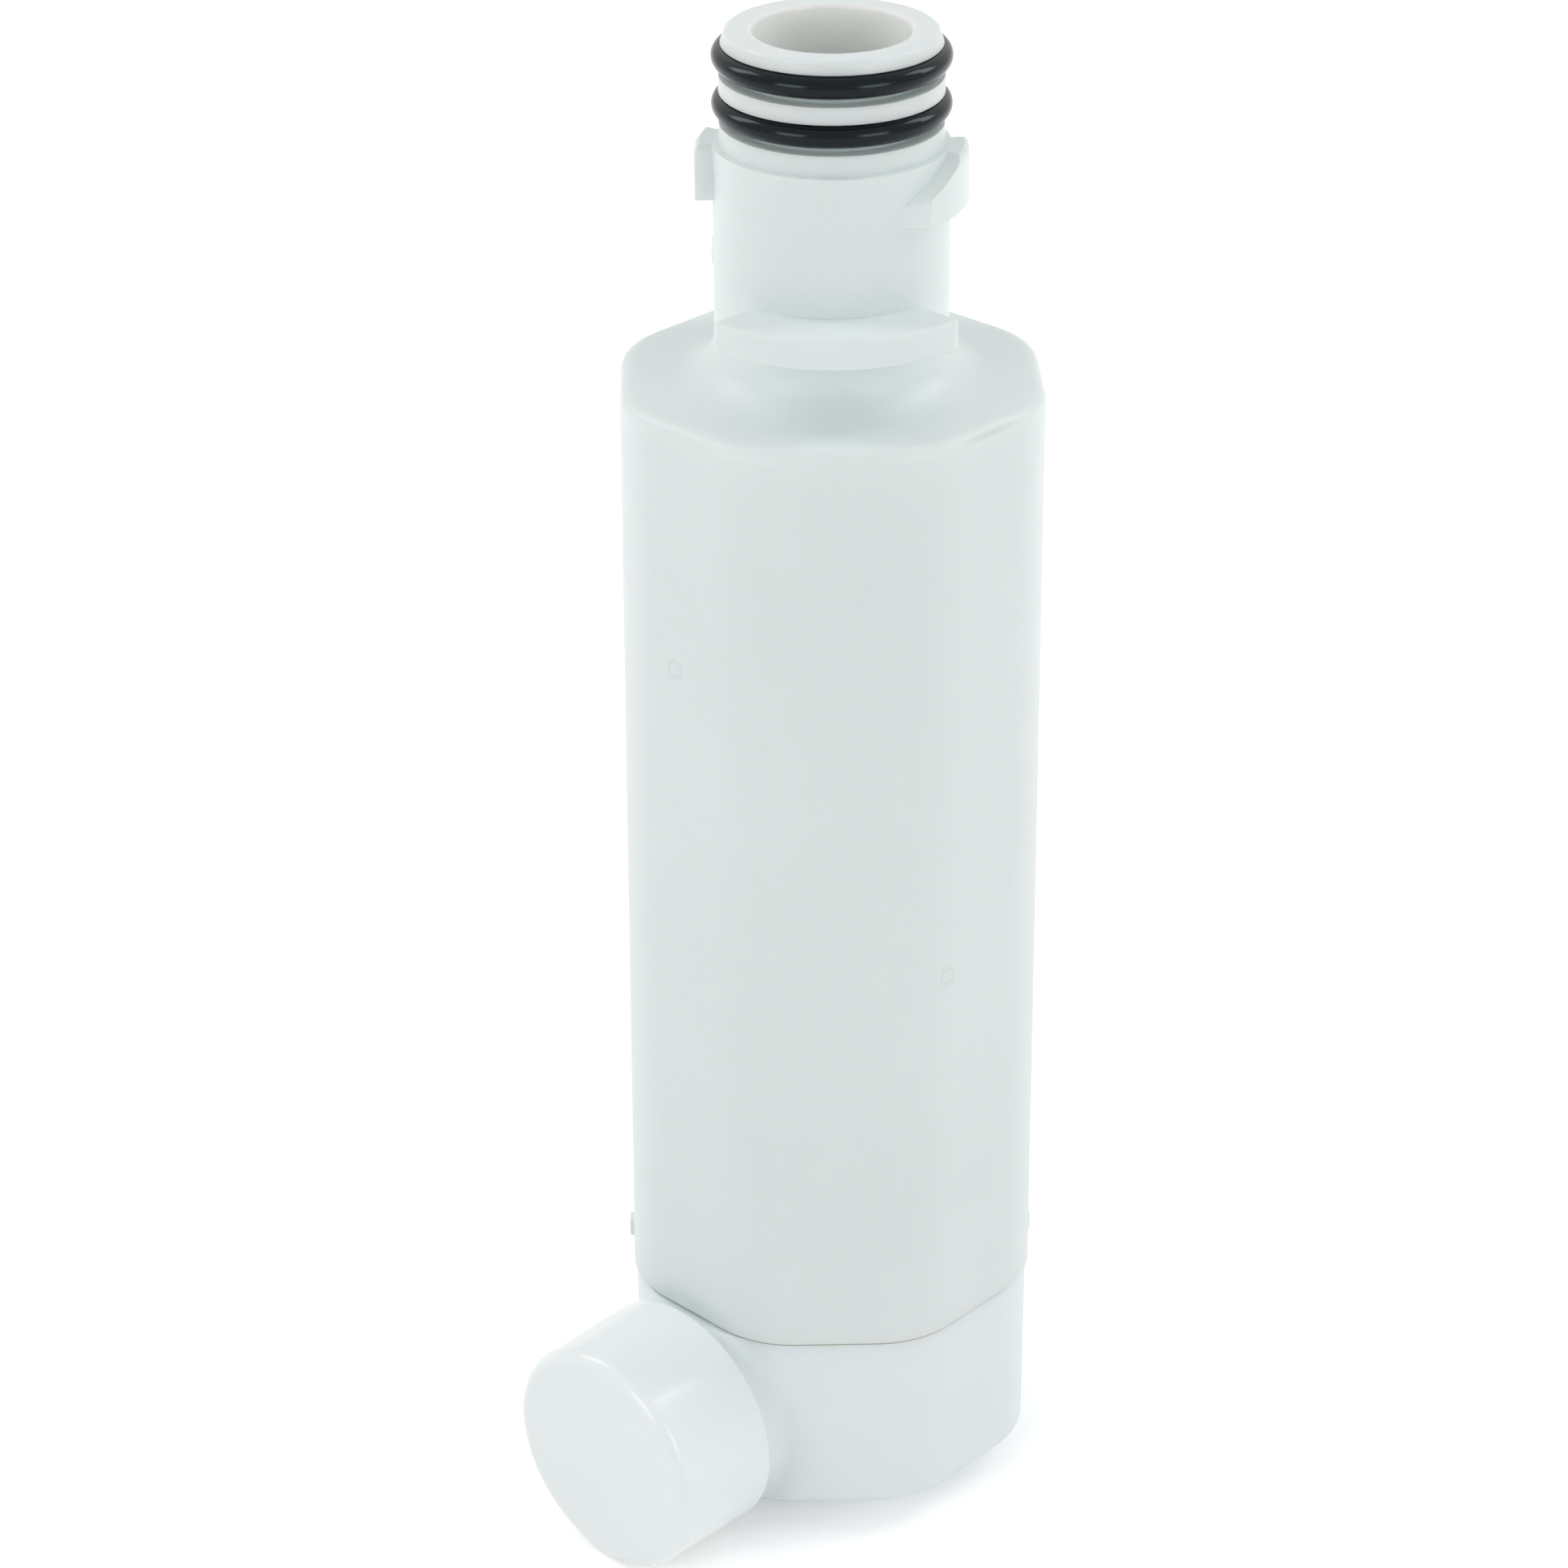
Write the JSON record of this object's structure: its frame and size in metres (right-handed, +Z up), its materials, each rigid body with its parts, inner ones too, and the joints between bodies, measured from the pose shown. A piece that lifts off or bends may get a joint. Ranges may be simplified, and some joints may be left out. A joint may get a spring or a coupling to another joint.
{
  "type": "fridge water filter cartridge",
  "caption": "Octagonal white water filter cartridge with a ringed bayonet neck, a carbon block inside and a side outlet under a push-on protective cap.",
  "frame": {"origin": "on the housing's axis, on the flat underside of the end cap", "axes": "+Z up along the axis to the neck, the outlet spigot points along -Y"},
  "size_m": [0.052, 0.0692, 0.1952],
  "materials": {
    "white_polypropylene": "semi-gloss injection moulding",
    "natural_polyethylene": "milky translucent moulding",
    "black_rubber": "smooth moulded seal",
    "pressed_carbon": "pressed carbon grain",
    "nonwoven_polypropylene": "non-woven sleeve"
  },
  "bodies": {
    "cartridge": {"housing": "white_polypropylene", "end_cap": "white_polypropylene", "upper_neck_o_ring": "black_rubber", "lower_neck_o_ring": "black_rubber", "outer_outlet_o_ring": "black_rubber", "inner_outlet_o_ring": "black_rubber", "carbon_block": "pressed_carbon", "prefilter_wrap": "nonwoven_polypropylene", "top_end_plate": "white_polypropylene", "bottom_end_plate": "white_polypropylene", "nipple_o_ring": "black_rubber"},
    "protective_cap": {"protective_cap": "natural_polyethylene"}
  },
  "joints": [
    {"name": "protective_cap_pull", "type": "slide", "parent": "cartridge", "child": "protective_cap", "axis": [0, -1, 0], "range_m": [0, 0.03]}
  ]
}
